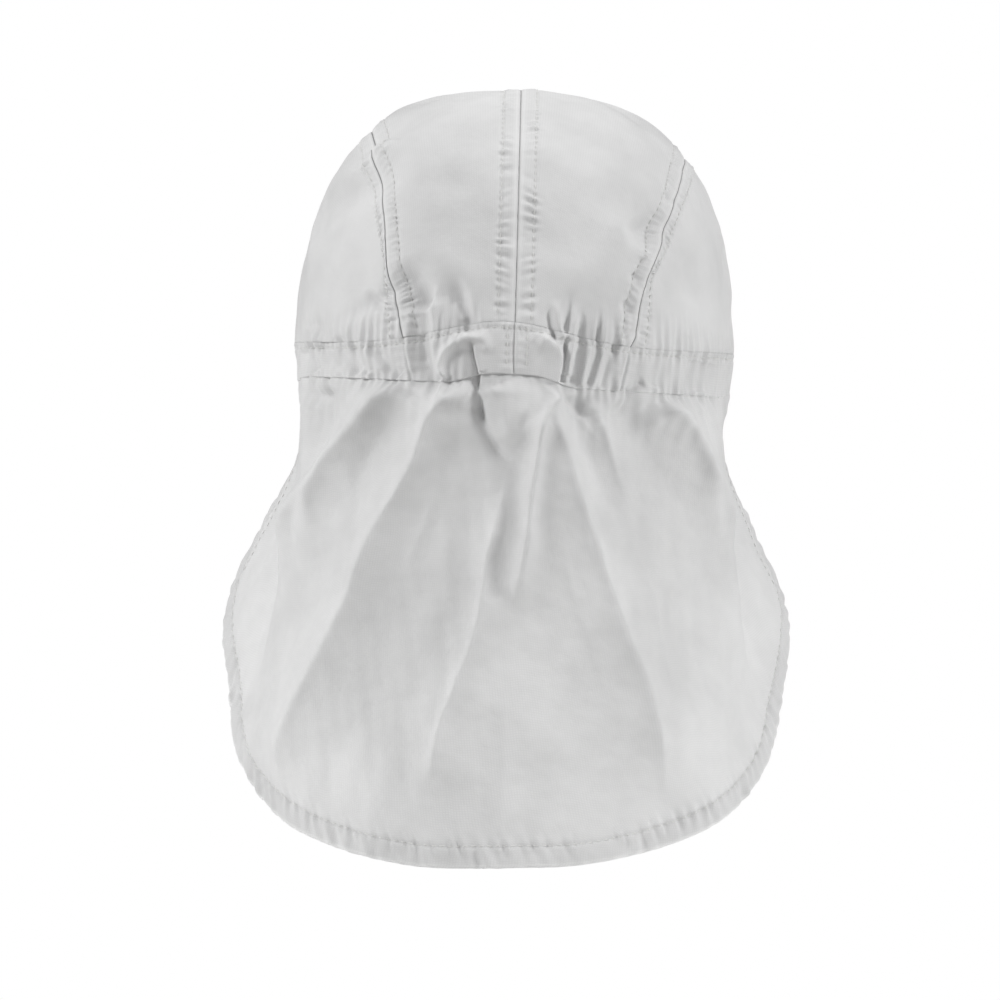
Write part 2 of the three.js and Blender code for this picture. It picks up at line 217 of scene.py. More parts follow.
def clothPiece(name, outer, inner, wearAndPaintedShade, ring=False):   # a closed wall, half as fine on its inner side
    innerGrid = inner[::2, ::2]
    o = np.arange(outer[..., 0].size).reshape(outer.shape[:2])
    n = o.size + np.arange(innerGrid[..., 0].size).reshape(innerGrid.shape[:2])
    if ring:
        o, n = np.concatenate([o, o[:1]]), np.concatenate([n, n[:1]])
    quads = np.concatenate([
        np.stack([o[:-1, :-1], o[1:, :-1], o[1:, 1:], o[:-1, 1:]], -1).reshape(-1, 4),
        np.stack([n[:-1, :-1], n[:-1, 1:], n[1:, 1:], n[1:, :-1]], -1).reshape(-1, 4),
    ])
    edges = [(o[::-1, 0], n[::-1, 0]), (o[:, -1], n[:, -1])]
    if not ring:
        edges += [(o[0], n[0]), (o[-1, ::-1], n[-1, ::-1])]
    triangles = np.concatenate([
        np.concatenate([
            np.stack([far[0:-1:2], far[1::2], near[:-1]], -1),
            np.stack([far[1::2], near[1:], near[:-1]], -1),
            np.stack([far[1::2], far[2::2], near[1:]], -1),
        ]) for far, near in edges
    ])
    points = np.concatenate([outer.reshape(-1, 3), innerGrid.reshape(-1, 3)])
    piece = newPiece(name, points, quads.tolist() + triangles.tolist())
    mesh = piece.data
    across, down = lengthsAcross(outer), lengthsDown(outer)
    flat = np.stack([mix(across, across.mean(axis=1, keepdims=True), 0.7), down], -1)
    places = np.concatenate([flat.reshape(-1, 2), flat[::2, ::2].reshape(-1, 2)])
    corners = np.empty(len(mesh.loops), dtype=np.int32)
    mesh.loops.foreach_get("vertex_index", corners)
    mesh.uv_layers.new(name="cloth").data.foreach_set("uv", places[corners].ravel())
    marks = mesh.attributes.new("wearAndPaintedShade", "FLOAT", "POINT")
    marks.data.foreach_set("value", np.concatenate([wearAndPaintedShade.ravel(), wearAndPaintedShade[::2, ::2].ravel()]).astype(np.float32))
    return piece


def dress(piece, material, slot, *nodes):
    piece.data.materials.append(material)
    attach(piece, "root")
    if nodes:
        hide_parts(*nodes)


# materials
def fromHex(text):
    channels = [int(text[i:i + 2], 16) / 255 for i in (1, 3, 5)]
    return tuple(c / 12.92 if c <= 0.04045 else ((c + 0.055) / 1.055) ** 2.4 for c in channels) + (1,)


def addNode(tree, kind, settings=None, links=None):     # links: socket -> value or another node's socket
    node = tree.nodes.new(kind)
    for key, value in (settings or {}).items():
        setattr(node, key, value)
    for key, value in (links or {}).items():
        socket = node.inputs[key]
        if isinstance(value, bpy.types.NodeSocket):
            tree.links.new(value, socket)
        else:
            socket.default_value = value
    return node


bandScale = math.pi / 10                # a wave texture's scale times its bands' spacing
poplin = {
    "color": "#e9e9e9",
    "shade": "#dcdcdc",         # duller patches, where washing has left the cloth flatter
    "worn": "#f4f4f4",          # bare fibre along seams, folds and hems
    "paintedShade": "#8f8f90",         # painted shade: the dark line painted where two pieces meet, also over the hem and along its stitches
    "threadSpacing": 0.9 * mm,  # real poplin has 0.3 mm, drawn three times coarser so that it shows
    "weaveDepth": 0.016 * mm,
    "crumpleSize": 9 * mm,
    "crumpleDepth": 0.5 * mm,
    "patchSize": 38 * mm,
    "roughness": 0.92,
    "sheen": 0.25,
    "throughLight": 0.12,       # one thin layer lets a little light through
}


def washedCottonPoplin(name):           # plain woven cotton, garment washed: matt, soft, faintly crumpled
    material = bpy.data.materials.new(name)
    material.use_nodes = True
    tree = material.node_tree
    tree.nodes.clear()
    place = addNode(tree, "ShaderNodeTexCoord")
    warp, weft = (addNode(tree, "ShaderNodeTexWave", {"wave_type": "BANDS", "bands_direction": direction}, {
        "Vector": place.outputs["UV"], "Scale": bandScale / poplin["threadSpacing"],
        "Distortion": 0.6, "Detail": 1, "Detail Scale": 0.4}) for direction in "XY")
    weave = addNode(tree, "ShaderNodeMath", {"operation": "MULTIPLY"}, {
        0: warp.outputs["Fac"], 1: weft.outputs["Fac"]})
    crumple, slub = (addNode(tree, "ShaderNodeTexNoise", links={
        "Vector": place.outputs["Object"], "Scale": 1 / size, "Detail": detail, "Roughness": rough})
        for size, detail, rough in ((poplin["crumpleSize"], 5, 0.55), (poplin["patchSize"], 4, 0.6)))
    # the attribute holds wear above 0 and painted shade below 0
    wearAndPaintedShade = addNode(tree, "ShaderNodeAttribute", {"attribute_name": "wearAndPaintedShade"})
    patches = addNode(tree, "ShaderNodeMapRange", links={
        "Value": slub.outputs["Fac"], "From Min": 0.35, "From Max": 0.68})
    # the share of painted shade: the attribute's part below 0
    below = addNode(tree, "ShaderNodeMath", {"operation": "MULTIPLY", "use_clamp": True}, {
        0: wearAndPaintedShade.outputs["Fac"], 1: -1.0})
    tint = fromHex(poplin["color"])
    for share, layer in ((patches.outputs["Result"], "shade"), (wearAndPaintedShade.outputs["Fac"], "worn"),
                         (below.outputs["Value"], "paintedShade")):
        tint = addNode(tree, "ShaderNodeMix", {"data_type": "RGBA"}, {
            "Factor": share, "A": tint, "B": fromHex(poplin[layer])}).outputs["Result"]
    # painted shade: the colour darkens by up to 5% in the weave's low places, between the threads
    paintedWeaveShade = addNode(tree, "ShaderNodeMapRange", links={
        "Value": weave.outputs["Value"], "From Min": 0.0, "From Max": 0.5, "To Min": 0.95, "To Max": 1.0})
    color = addNode(tree, "ShaderNodeVectorMath", {"operation": "SCALE"}, {
        0: tint, "Scale": paintedWeaveShade.outputs["Result"]})
    weaveBump = addNode(tree, "ShaderNodeBump", links={
        "Height": weave.outputs["Value"], "Distance": poplin["weaveDepth"], "Strength": 1})
    crumpleBump = addNode(tree, "ShaderNodeBump", links={
        "Height": crumple.outputs["Fac"], "Distance": poplin["crumpleDepth"], "Strength": 1,
        "Normal": weaveBump.outputs["Normal"]})
    cloth = addNode(tree, "ShaderNodeBsdfPrincipled", links={
        "Base Color": color.outputs["Vector"], "Roughness": poplin["roughness"], "Specular IOR Level": 0.2,
        "Sheen Weight": poplin["sheen"], "Sheen Roughness": 0.6, "Normal": crumpleBump.outputs["Normal"]})
    through = addNode(tree, "ShaderNodeBsdfTranslucent", links={"Color": color.outputs["Vector"]})
    blend = addNode(tree, "ShaderNodeMixShader", links={
        "Fac": poplin["throughLight"], 1: cloth.outputs["BSDF"], 2: through.outputs["BSDF"]})
    addNode(tree, "ShaderNodeOutputMaterial", links={"Surface": blend.outputs["Shader"]})
    return material


thread = {
    "color": "#dededc",
    "twist": 0.45 * mm,         # pitch of the plies round a sewing thread
    "width": 0.34 * mm,
    "stitch": 3.1 * mm,
    "seenShare": 0.76,          # the rest of each stitch lies under the cloth
    "roughness": 0.6,
}


def spunPolyesterThread():      # spun and dyed white: smoother than the cotton, with its plies showing
    material = bpy.data.materials.new("spun_polyester_thread")
    material.use_nodes = True
    tree = material.node_tree
    cloth = tree.nodes["Principled BSDF"]
    cloth.inputs["Base Color"].default_value = fromHex(thread["color"])
    cloth.inputs["Roughness"].default_value = thread["roughness"]
    cloth.inputs["Sheen Weight"].default_value = 0.2
    place = addNode(tree, "ShaderNodeTexCoord")
    plies = addNode(tree, "ShaderNodeTexWave", {"wave_type": "BANDS", "bands_direction": "DIAGONAL"}, {
        "Vector": place.outputs["Object"], "Scale": bandScale / thread["twist"]})
    relief = addNode(tree, "ShaderNodeBump", links={"Height": plies.outputs["Fac"], "Distance": 0.05 * mm})
    tree.links.new(relief.outputs["Normal"], cloth.inputs["Normal"])
    return material


crownCloth = washedCottonPoplin("washed_cotton_poplin_crown")
casingCloth = washedCottonPoplin("washed_cotton_poplin_casing")
flapCloth = washedCottonPoplin("washed_cotton_poplin_flap")
threadFinish = spunPolyesterThread()
print("materials made")


# stitches
def stitchRow(line, normals):           # stitches along a line of points on the cloth
    steps = np.linalg.norm(np.diff(line, axis=0), axis=1)
    run = np.concatenate([[0], np.cumsum(steps)])
    starts = np.arange(0, run[-1] - 0.8 * thread["stitch"], thread["stitch"])
    at = starts[:, None] + np.linspace(0, thread["seenShare"], 5)[None] * thread["stitch"]
    center = np.stack([np.interp(at, run, line[:, axis]) for axis in range(3)], -1)
    normal = np.stack([np.interp(at, run, normals[:, axis]) for axis in range(3)], -1)
    normal /= np.linalg.norm(normal, axis=-1, keepdims=True)
    along = center[:, -1:] - center[:, :1]
    along = along / np.maximum(np.linalg.norm(along, axis=-1, keepdims=True), 1e-9)
    side = np.cross(normal, along)
    side /= np.linalg.norm(side, axis=-1, keepdims=True)
    rise = np.array([-0.2, 0.12, 0.2, 0.12, -0.2]) * mm     # both ends dip into the cloth
    girth = np.array([0.75, 1, 1, 1, 0.75]) * thread["width"] / 2
    center = center + normal * rise[None, :, None]
    angle = np.linspace(0, 2 * math.pi, 6, endpoint=False)[:, None]
    ring = side[:, :, None] * np.cos(angle) + normal[:, :, None] * np.sin(angle)
    return center[:, :, None] + ring * girth[None, :, None, None]


def threadPiece(name, rows, slot):
    stitches = np.concatenate(rows)
    count = len(stitches)
    ids = np.arange(count * 30).reshape(count, 5, 6)
    nextId = np.roll(ids, -1, axis=2)
    sides = np.stack([ids[:, :-1], nextId[:, :-1], nextId[:, 1:], ids[:, 1:]], -1).reshape(-1, 4)
    caps = np.concatenate([ids[:, 0, ::-1], ids[:, -1]])
    piece = newPiece(name, stitches, sides.tolist() + caps.tolist())
    dress(piece, threadFinish, slot)
    return piece


# the cap's measures, as the solids have them
cap = {
    "rimHalfWidth": 80.5 * mm, "rimHalfDepth": 99 * mm,
    "crownHalfWidth": 82.1 * mm, "crownHalfDepth": 100.6 * mm, "crownHeight": 111 * mm,
    "crownFullness": 2.7, "crownWall": 1.6 * mm, "seamGap": 0.02 * mm,
    "casingHeight": 14.6 * mm, "casingLift": 8.8 * mm, "casingWall": 2.4 * mm, "rimLift": 4.2 * mm,
    "gatherSpacing": 11 * mm, "gatherDepth": 1.1 * mm, "gatherReach": 16 * mm,
    "gatherFullTurn": math.radians(98), "gatherEndTurn": math.radians(125),
    "stitchFromSeam": 6.3 * mm,
}


def turnOf(grid):
    return np.arctan2(grid[..., 0] / cap["crownHalfWidth"], grid[..., 1] / cap["crownHalfDepth"])


def atBack(turn):
    return ease(np.cos(turn), 0, 0.3)


def rimOval(turn, z, outside=0.0):      # points round the rim, at a distance outside its oval
    across = (cap["rimHalfWidth"] + outside) * np.sin(turn)
    along = (cap["rimHalfDepth"] + outside) * np.cos(turn)
    return np.stack(np.broadcast_arrays(across, along, z), -1)


def casingTop(turn):
    return cap["casingHeight"] + cap["casingLift"] * bump((np.sin(turn) - 0.05) / 0.38) * atBack(turn)


def centrePiece(turn):
    return np.exp(-((np.sin(turn) - 0.01) / 0.22) ** 4) * atBack(turn)


def gathers(turn):
    count = round(math.pi * (cap["rimHalfWidth"] + cap["rimHalfDepth"]) / cap["gatherSpacing"])
    wave = np.cos(count * turn + 0.8 * np.sin(7 * turn)) * (0.75 + 0.25 * np.sin(11 * turn))
    spread = 1 - ease(np.abs(turn), cap["gatherFullTurn"], cap["gatherEndTurn"])
    return wave * spread * (1 - 0.85 * centrePiece(turn))


def fineGathers(turn):                  # the small tucks between the large ones
    wave = rippleLine(turn * 90 * mm, 5 * mm, 11)
    spread = 1 - ease(np.abs(turn), cap["gatherFullTurn"], cap["gatherEndTurn"])
    return wave * spread * (1 - 0.75 * centrePiece(turn))


# Gathers on the crown and the casing, row by row as lineRelief reads them
gatherLines = [
    ([(316, 345), (326, 356), (338, 372)], -1.3, 1.4, 2.2, 0.2, 0.2),
    ([(361, 340), (372, 356), (384, 374)], 1.2, 1.6, 1.8, 0.2, 0.2),
    ([(309, 318), (322, 333), (332, 344)], -0.8, 1.8, 2.4, 0.3, 0.3),
    ([(399, 318), (404, 335), (409, 352), (414, 374)], 0.9, 1.6, 1.6, 0.2, 0.1),
    ([(693, 358), (690, 374), (687, 390)], -0.9, 1.4, 1.4, 0.1, 0.1),
    ([(702, 360), (699, 376), (697, 392)], -1.0, 1.4, 1.4, 0.1, 0.1),
    ([(712, 362), (708, 378), (706, 393)], -1.0, 1.4, 1.4, 0.1, 0.1),
    ([(439, 276), (435, 294), (432, 319), (433, 349), (438, 368), (445, 381)], 2.4, 1.8, 1.8, 0.3, 0.02),
    ([(415, 270), (424, 305), (427, 334), (430, 362), (438, 383)], -2.8, 3.0, 2.2, 0.3, 0.02),
    ([(422, 330), (423, 345), (424, 366)], -1.1, 1.2, 1.2, 0.2, 0.2),
    ([(453, 272), (461, 300), (468, 322), (470, 336)], -3.6, 3.0, 2.0, 0.5, 0.1),
    ([(455, 300), (464, 322)], 1.1, 1.2, 1.2, 0.3, 0.2),
    ([(444, 379), (442, 366), (447, 352), (457, 343), (468, 338), (478, 339), (481, 347)],
     2.7, 1.5, 1.5, 0.1, 0.15),
    ([(471, 340), (473, 355), (476, 368), (478, 381)], -2.8, 0.55, 0.45, 0.08, 0.02),
    ([(470, 344), (471, 356), (474, 370), (476, 381)], -2.0, 2.8, 0.9, 0.2, 0.02),
    ([(474, 344), (476, 356), (480, 372)], 1.0, 0.7, 1.6, 0.2, 0.02),
    ([(477, 330), (487, 343), (488, 356)], 1.4, 1.5, 1.8, 0.3, 0.3),
    ([(535, 334), (553, 344), (560, 359), (557, 378), (554, 389)], 3.1, 3.4, 1.2, 0.15, 0.02),
    ([(566, 338), (564, 360), (561, 383)], -2.8, 0.8, 1.0, 0.2, 0.02),
    ([(549, 300), (551, 325), (557, 345)], -1.6, 1.3, 1.2, 0.5, 0.2),
    ([(556, 298), (557, 322), (563, 340)], 2.0, 1.4, 1.4, 0.4, 0.1),
    ([(572, 284), (568, 319), (562, 338)], -1.9, 1.4, 1.4, 0.6, 0.2),
    ([(577, 303), (573, 325), (571, 346), (566, 376)], 2.1, 1.4, 1.4, 0.3, 0.02),
    ([(588, 296), (580, 334), (574, 364), (570, 386)], -1.6, 1.2, 1.2, 0.45, 0.05),
    ([(590, 335), (586, 358), (580, 387)], 1.5, 1.1, 1.1, 0.3, 0.05),
    ([(601, 305), (597, 343), (591, 372), (588, 390)], -1.5, 1.3, 1.1, 0.4, 0.1),
    ([(606, 300), (603, 340), (597, 370), (593, 389)], 1.5, 1.2, 1.2, 0.4, 0.1),
    ([(614, 335), (609, 358), (604, 376), (600, 390)], -1.0, 1.1, 1.0, 0.3, 0.1),
    ([(331, 335), (343, 352), (357, 375)], -1.9, 1.5, 2.2, 0.2, 0.1),
    ([(350, 344), (358, 358), (368, 375)], -1.4, 1.5, 1.8, 0.2, 0.1),
    ([(375, 343), (386, 363), (398, 377)], -2.0, 1.5, 1.5, 0.3, 0.02),
    ([(302, 346), (308, 358), (313, 371)], -1.8, 1.5, 2.2, 0.2, 0.1),
    ([(307, 322), (315, 343)], 1.0, 1.5, 1.5, 0.3, 0.2),
    ([(645, 381), (637, 386), (628, 392)], -2.1, 1.4, 1.4, 0.2, 0.05),
    ([(668, 352), (662, 372), (655, 388)], -1.3, 1.5, 1.5, 0.2, 0.1),
    ([(442, 112), (412, 141), (384, 154), (350, 178), (331, 196)], 1.0, 2.4, 5.2, 0.35, 0.25),
    ([(369, 154), (387, 141), (391, 135)], 1.3, 1.0, 1.0, 0.3, 0.3),
    ([(378, 158), (394, 146), (400, 139)], 1.3, 1.0, 1.0, 0.3, 0.3),
    ([(352, 170), (366, 160), (374, 150)], -1.1, 1.0, 1.0, 0.3, 0.3),
    ([(636, 214), (643, 232), (650, 248)], -3.0, 4.5, 5.5, 0.4, 0.4),
    ([(631, 268), (643, 286)], -2.2, 1.8, 1.8, 0.4, 0.4),
    ([(648, 250), (640, 262)], 1.4, 1.4, 1.4, 0.4, 0.4),
    ([(622, 298), (634, 314)], -2.0, 1.7, 1.7, 0.4, 0.4),
    ([(668, 188), (676, 203)], -1.4, 1.5, 1.5, 0.4, 0.4),
    ([(363, 290), (374, 301), (386, 312)], -1.4, 1.2, 1.7, 0.3, 0.3),
    ([(372, 286), (384, 300), (392, 314)], 1.1, 1.0, 1.0, 0.3, 0.3),
    ([(400, 258), (414, 284), (424, 312)], -4.2, 4.5, 5.0, 0.4, 0.2),
    ([(640, 330), (625, 345), (614, 352)], 1.0, 1.5, 1.5, 0.3, 0.3),
]


# crown
crown = {
    "grooveDepth": 0.3 * mm, "grooveWidth": 0.45 * mm,
    "bandRise": 0.1 * mm,              # the turnings lie under the cloth beside each seam
    "stitchPull": 0.35 * mm,
    "puckerDepth": 0.54 * mm, "puckerLength": 2.9 * mm,
    "softFolds": 0.5 * mm, "softFoldSize": 34 * mm,
    "ripple": 0.22 * mm, "rippleSize": 13 * mm,
    "fineGathers": 0.45 * mm,
    "turnings": 0.5 * mm, "turningsWidth": 7.5 * mm,    # the turned-in cloth thickens the wall at each seam
}
seamRise = [0, 0.2, 0.4, 0.6, 0.8, 1]
seamOut = {1: [0.46, 0.5, 0.55, 0.56, 0.58, 0.62], -1: [0.46, 0.53, 0.56, 0.62, 0.66, 0.69]}
# Dents (below 0) and ridges: across, up, wide, high, tilt in degrees, depth in mm
crownDents = [
    (0.67, 0.73, 0.26, 0.05, -32, 2.4), (0.72, 0.63, 0.2, 0.07, -32, -1.8),
    (-0.6, 0.56, 0.12, 0.07, 20, -3), (-0.47, 0.5, 0.07, 0.1, -35, 1.5),
    (0.63, 0.27, 0.13, 0.035, -30, -1.8), (-0.8, 0.33, 0.12, 0.09, 40, -2.1),
    (0.28, 0.62, 0.14, 0.2, 10, -1.2), (-0.25, 0.7, 0.16, 0.12, -15, 0.9),
]


def crownAt(x, y, z):
    level = np.hypot(x / cap["crownHalfWidth"], y / cap["crownHalfDepth"])
    full = cap["crownFullness"]
    reach = (level ** full + (np.maximum(z, 0) / cap["crownHeight"]) ** full) ** (-1 / full)
    return np.stack([x * reach, y * reach, z * reach], -1)


def crownOutward(grid):
    level = np.hypot(grid[..., 0] / cap["crownHalfWidth"], grid[..., 1] / cap["crownHalfDepth"])
    side = level ** (cap["crownFullness"] - 2)
    up = (np.maximum(grid[..., 2], 0) / cap["crownHeight"]) ** (cap["crownFullness"] - 1) / cap["crownHeight"]
    out = np.stack([
        grid[..., 0] / cap["crownHalfWidth"] ** 2 * side,
        grid[..., 1] / cap["crownHalfDepth"] ** 2 * side, up], -1)
    return out / np.linalg.norm(out, axis=-1, keepdims=True)


def crownRelief(grid):
    turn = turnOf(grid)
    above = grid[..., 2] - casingTop(turn)
    nearCentre = 1 - ease(np.abs(turn), 0.5, 0.8)
    reach = mix(0.25 * bump(above / (6 * mm)), 0.3 * bump(above / cap["gatherReach"]), nearCentre)
    relief = cap["gatherDepth"] * gathers(turn) * reach
    relief = relief + crown["fineGathers"] * fineGathers(turn) * bump(above / (9 * mm))
    relief = relief + lineRelief(grid, gatherLines)
    for across, up, wide, high, tilt, depth in crownDents:
        tilt = math.radians(tilt)
        x = grid[..., 0] / cap["crownHalfWidth"] - across
        z = (grid[..., 2] / cap["crownHeight"] - up) * (cap["crownHeight"] / cap["crownHalfWidth"])
        along = (x * math.cos(tilt) + z * math.sin(tilt)) / wide
        over = (z * math.cos(tilt) - x * math.sin(tilt)) / high
        relief = relief + depth * mm * bump(along) * bump(over) * atBack(turn)
    softFolds = rippleField(grid, crown["softFoldSize"], 5) * ease(above, 0, 30 * mm)
    relief = relief + crown["softFolds"] * softFolds
    relief = relief + crown["ripple"] * rippleField(grid, crown["rippleSize"], 6)
    return relief - 0.2 * mm * bump(above / (0.8 * mm))


def domeAt(share, roll):
    rest = np.sqrt(1 - share * share)
    return crownAt(cap["crownHalfWidth"] * share, cap["crownHalfDepth"] * rest * np.cos(roll),
                   cap["crownHeight"] * rest * np.sin(roll))


def footRoll(shareAt, front):
    low, high = 0.0, math.pi / 4
    for _ in range(30):
        middle = (low + high) / 2
        point = domeAt(np.float64(shareAt(middle)), math.pi - middle if front else middle)
        if point[2] < casingTop(turnOf(point)):
            low = middle
        else:
            high = middle
    return high


def seamFrom(shareAt):                  # from the front of the casing (0) over the crown to its back (1)
    frontRoll, backRoll = math.pi - footRoll(shareAt, True), footRoll(shareAt, False)

    def seam(along):
        roll = mix(frontRoll, backRoll, along)
        return domeAt(shareAt(roll), roll)
    return seam


def centreSeam(shift):
    return seamFrom(lambda roll: shift / cap["crownHalfWidth"] + 0 * roll)


def sideSeam(side, shift):
    return seamFrom(lambda roll: side * readTable(seamRise, seamOut[side], np.sin(roll))
                    + shift / cap["crownHalfWidth"])


def crownFoot(fromPoint, toPoint):
    def foot(u):
        turn = mix(turnOf(fromPoint), turnOf(toPoint), u)
        z = casingTop(turn)
        level = (1 - (z / cap["crownHeight"]) ** cap["crownFullness"]) ** (1 / cap["crownFullness"])
        return np.stack([cap["crownHalfWidth"] * level * np.sin(turn),
                         cap["crownHalfDepth"] * level * np.cos(turn), z], -1)
    return foot


def patch(startLine, endLine, topLine, bottomLine, u, v):   # a surface between four edges
    u3, v3 = u[:, None, None], v[None, :, None]
    sides = mix(startLine[None], endLine[None], u3)
    topShift = topLine[:, None] - mix(topLine[0], topLine[-1], u3)
    bottomShift = bottomLine[:, None] - mix(bottomLine[0], bottomLine[-1], u3)
    return sides + topShift * (1 - v3) + bottomShift * v3


def seamRelief(distance, along, seed):  # groove, turnings, stitched line and puckers beside a seam
    row = cap["stitchFromSeam"]
    inside = 1 - ease(distance, row - 0.8 * mm, row + 0.8 * mm)
    relief = crown["bandRise"] * ease(distance, 0, 1.5 * mm) * inside
    relief = relief - crown["grooveDepth"] * bump(distance / crown["grooveWidth"])
    relief = relief - crown["stitchPull"] * bump((distance - row) / (0.9 * mm))
    patchy = 0.75 + 0.35 * rippleLine(along, 26 * mm, seed + 40)
    slant = along + 0.35 * distance * np.sin(along / (9 * mm))
    length = crown["puckerLength"]
    small = rippleLine(slant, length, seed) * bump((distance - 0.8 * row) / (2.4 * mm))
    wide = rippleLine(slant, 2 * length, seed + 20) * bump((distance - 0.55 * row) / (0.4 * row))
    return relief + crown["puckerDepth"] * patchy * (small + 0.55 * wide)


def crownPanel(name, node, base, seams):
    # seams: distances from each sewn edge, as functions of the grid, with a seed for each
    smooth = crownAt(base[..., 0], base[..., 1], base[..., 2])
    outward = crownOutward(smooth)
    roll = np.arctan2(smooth[..., 2], smooth[..., 1]) * 105 * mm
    relief = crownRelief(smooth)
    wearAndPaintedShade = np.zeros(smooth.shape[:2])
    band = np.zeros(smooth.shape[:2])
    for distance, seed in seams:
        relief = relief + seamRelief(distance, roll, seed)
        wearAndPaintedShade = np.maximum(wearAndPaintedShade, 0.4 * bump((distance - 1.2 * mm) / (0.8 * mm)))
        # painted shade: a dark line in the seam's groove
        wearAndPaintedShade = wearAndPaintedShade - 1.2 * bump(distance / (0.3 * mm))
        fromBand = distance - crown["turningsWidth"]
        band = np.maximum(band, 1 - ease(fromBand, -0.3 * mm, 0.3 * mm))
    outer = smooth + outward * relief[..., None]
    inner = outer - outward * (cap["crownWall"] + crown["turnings"] * band)[..., None]
    piece = clothPiece(name, outer, inner, wearAndPaintedShade)
    dress(piece, crownCloth, "crown_cloth", node)
    return outer


def crowded(count, pull):               # places from 0 to 1, closer together at both ends
    place = np.linspace(0, 1, count)
    return place - pull * np.sin(2 * math.pi * place)


def backPanel(side):
    name = "left" if side > 0 else "right"
    u, v = crowded(91, 0.08), crowded(361, 0.06)
    halfGap = side * cap["seamGap"] / 2
    seams = [centreSeam(halfGap), sideSeam(side, -halfGap)]
    seeds = [21, 22] if side > 0 else [24, 23]
    if side < 0:
        seams.reverse()
        seeds.reverse()
    startLine, endLine = seams[0](v), seams[1](v)
    base = patch(startLine, endLine, crownFoot(startLine[0], endLine[0])(u),
                 crownFoot(startLine[-1], endLine[-1])(u), u, v)
    smooth = crownAt(base[..., 0], base[..., 1], base[..., 2])
    fromStart = lengthsAcross(smooth)
    fromEnd = fromStart[-1:] - fromStart
    outer = crownPanel("crown_back_" + name, "back_panel_" + name, base, zip([fromStart, fromEnd], seeds))
    normals, row = gridNormals(outer), cap["stitchFromSeam"]
    return [stitchRow(*rowAt(outer[::way], normals[::way], lengthsAcross(outer[::way]), row))
            for way in (1, -1)]


def sidePanel(side):
    name = "left" if side > 0 else "right"
    u, v = crowded(281, 0.04), crowded(121, 0.04)
    seam = sideSeam(side, side * cap["seamGap"] / 2)
    shoulder = 0.2 - 0.1 * math.sin(0.4 * math.pi)
    backLine, frontLine = seam(mix(1 - shoulder, 1, v)), seam(mix(shoulder, 0, v))
    topLine = seam(mix(1 - shoulder, shoulder, u))
    startLine, endLine = (backLine, frontLine)
    if side < 0:
        startLine, endLine, topLine = frontLine, backLine, topLine[::-1]
    base = patch(startLine, endLine, topLine, crownFoot(startLine[-1], endLine[-1])(u), u, v)
    smooth = crownAt(base[..., 0], base[..., 1], base[..., 2])
    across, down = lengthsAcross(smooth), lengthsDown(smooth)
    fromSeam = np.minimum(np.minimum(across, across[-1:] - across), down)
    outer = crownPanel("crown_side_" + name, "side_panel_" + name, base, [(fromSeam, 22 if side > 0 else 23)])
    normals = gridNormals(outer)
    row = cap["stitchFromSeam"]
    across, down = lengthsAcross(outer), lengthsDown(outer)
    below = down[0] > row
    middle = (across[:, 0] > row) & (across[-1, 0] - across[:, 0] > row)
    up, back = (rowAt(outer[::way], normals[::way], lengthsAcross(outer[::way]), row) for way in (1, -1))
    over = rowAt(outer.swapaxes(0, 1), normals.swapaxes(0, 1), down.T, row)
    return [stitchRow(*(np.concatenate([first[below][::-1], top[middle], last[below]])
                        for first, top, last in zip(up, over, back)))]


crownStitches = backPanel(1) + backPanel(-1) + sidePanel(1) + sidePanel(-1)
threadPiece("thread_crown_seams", crownStitches, "crown_cloth")
print("crown made")

# casing
casing = {
    "columns": 1400, "rows": 41,
    "foldRound": 0.6 * mm,              # the cloth is folded over the elastic at the rim
    "edgeProud": 0.15 * mm,
    "stitchDrop": 2 * mm,               # the row of stitches that holds the casing, below its upper edge
    "rimTilt": 2 * mm,                  # the casing stands higher on the right
    "seamLean": 0.22,                   # the side seams lean inwards on their way down
    "fineDepth": 0.4 * mm,
    "swell": 1.6 * mm, "draw": 0.3 * mm,    # the elastic draws the rim in, and the crown's foot fills the top
    "stitchPull": 0.35 * mm, "seamGroove": 0.8 * mm,
    "besideSeam": (2.6 * mm, -4.6 * mm),    # short rows of stitches hold the turnings of the centre seam
}


def rimHeight(turn):
    return cap["rimLift"] * centrePiece(turn) + casing["rimTilt"] * np.sin(turn) * atBack(turn)


def seamTurns():                        # where each crown seam meets the casing: turn and which way it leans
    lines = [(centreSeam(0), 0), (sideSeam(1, 0), 1), (sideSeam(-1, 0), -1)]
    return [(float(turnOf(seam(end))), side) for seam, side in lines for end in (1.0, 0.0)]


def casingWaves(turn, point, v):        # the flap's upper edge is sewn on and follows the same waves
    waves = 0.6 * cap["gatherDepth"] * gathers(turn) * (1 - 0.6 * ease(np.cos(turn), 0.6, 0.8))
    waves = waves + casing["fineDepth"] * fineGathers(turn) * (0.6 + 0.4 * np.cos(6 * v))
    return waves + lineRelief(point, gatherLines)


